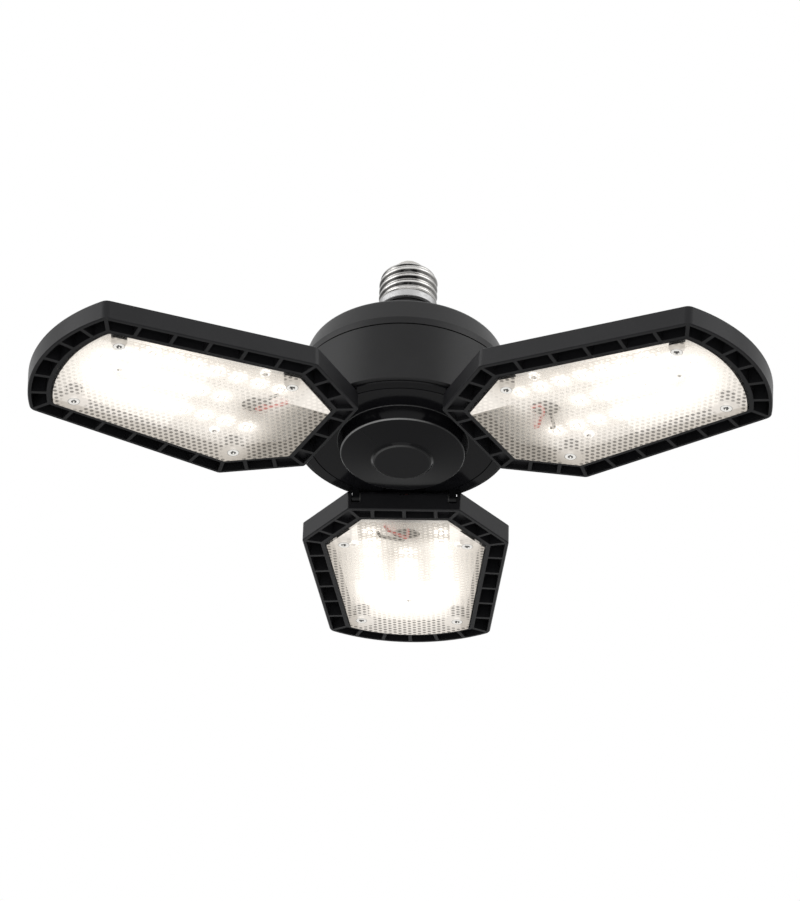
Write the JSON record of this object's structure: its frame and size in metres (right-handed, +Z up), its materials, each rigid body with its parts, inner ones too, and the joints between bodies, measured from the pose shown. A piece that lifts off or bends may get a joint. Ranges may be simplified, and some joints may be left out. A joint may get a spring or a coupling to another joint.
{
  "type": "led ceiling lamp",
  "caption": "Screw-in ceiling lamp: a round hub with a screw cap carries flat tilting panels, each a ribbed frame with a clear lens over light sources.",
  "frame": {"origin": "on the screw cap's axis, at the lower end of its plain collar", "axes": "+Z up along the cap's axis, out of the lamp holder's mouth into the holder; the rear panel points along +Y, the left and right panels 120 degrees either side of it"},
  "size_m": [0.3131, 0.2821, 0.1173],
  "materials": {
    "plated_brass": "polished",
    "pale_ceramic": "satin",
    "contact_metal": "satin",
    "black_housing": "satin",
    "gloss_black": "gloss",
    "screw_steel": "satin",
    "black_rubber": "matte",
    "driver_laminate": "satin",
    "capacitor_sleeve": "satin",
    "ferrite": "matte",
    "coil_tape": "satin",
    "choke_sleeve": "satin",
    "moulded_black": "matte",
    "fuse_body": "satin",
    "white_plug": "satin",
    "black_wire": "satin",
    "red_wire": "satin",
    "white_wire": "satin",
    "black_frame": "satin",
    "clear_lens": "gloss",
    "white_board": "satin",
    "led_yellow": "satin",
    "washer_nylon": "satin"
  },
  "bodies": {
    "hub": {"cap_shell": "plated_brass", "cap_insulator": "pale_ceramic", "centre_contact": "contact_metal", "upper_housing": "black_housing", "drum": "black_housing", "hinge_base": "gloss_black", "base_screws": "screw_steel", "bottom_cap": "gloss_black", "outlet_grommets": "black_rubber", "driver_board": "driver_laminate", "driver_screws": "screw_steel", "bulk_capacitor": "capacitor_sleeve", "output_capacitor": "capacitor_sleeve", "transformer_core": "ferrite", "transformer_winding": "coil_tape", "input_choke": "choke_sleeve", "bridge_rectifier": "moulded_black", "fuse": "fuse_body", "panel_plugs": "white_plug", "output_leads": "black_wire", "live_lead": "red_wire", "neutral_lead": "white_wire"},
    "left_panel": {"left_black_lead": "black_wire", "left_board_screws": "screw_steel", "left_frame": "black_frame", "left_friction_washers": "washer_nylon", "left_hinge_pins": "screw_steel", "left_led_board": "white_board", "left_led_chips": "led_yellow", "left_lens": "clear_lens", "left_lens_screws": "screw_steel", "left_red_lead": "red_wire"},
    "right_panel": {"right_black_lead": "black_wire", "right_board_screws": "screw_steel", "right_frame": "black_frame", "right_friction_washers": "washer_nylon", "right_hinge_pins": "screw_steel", "right_led_board": "white_board", "right_led_chips": "led_yellow", "right_lens": "clear_lens", "right_lens_screws": "screw_steel", "right_red_lead": "red_wire"},
    "rear_panel": {"rear_black_lead": "black_wire", "rear_board_screws": "screw_steel", "rear_frame": "black_frame", "rear_friction_washers": "washer_nylon", "rear_hinge_pins": "screw_steel", "rear_led_board": "white_board", "rear_led_chips": "led_yellow", "rear_lens": "clear_lens", "rear_lens_screws": "screw_steel", "rear_red_lead": "red_wire"}
  },
  "joints": [
    {"name": "left_tilt", "type": "hinge", "parent": "hub", "child": "left_panel", "pos_m": [-0.03317, -0.01915, -0.0745], "axis": [-0.5, 0.866, 0], "range_deg": [-86.4, 13.6]},
    {"name": "right_tilt", "type": "hinge", "parent": "hub", "child": "right_panel", "pos_m": [0.03317, -0.01915, -0.0745], "axis": [-0.5, -0.866, 0], "range_deg": [-86.6, 13.4]},
    {"name": "rear_tilt", "type": "hinge", "parent": "hub", "child": "rear_panel", "pos_m": [0, 0.0383, -0.0745], "axis": [1, 0, 0], "range_deg": [-96.3, 3.7]}
  ]
}
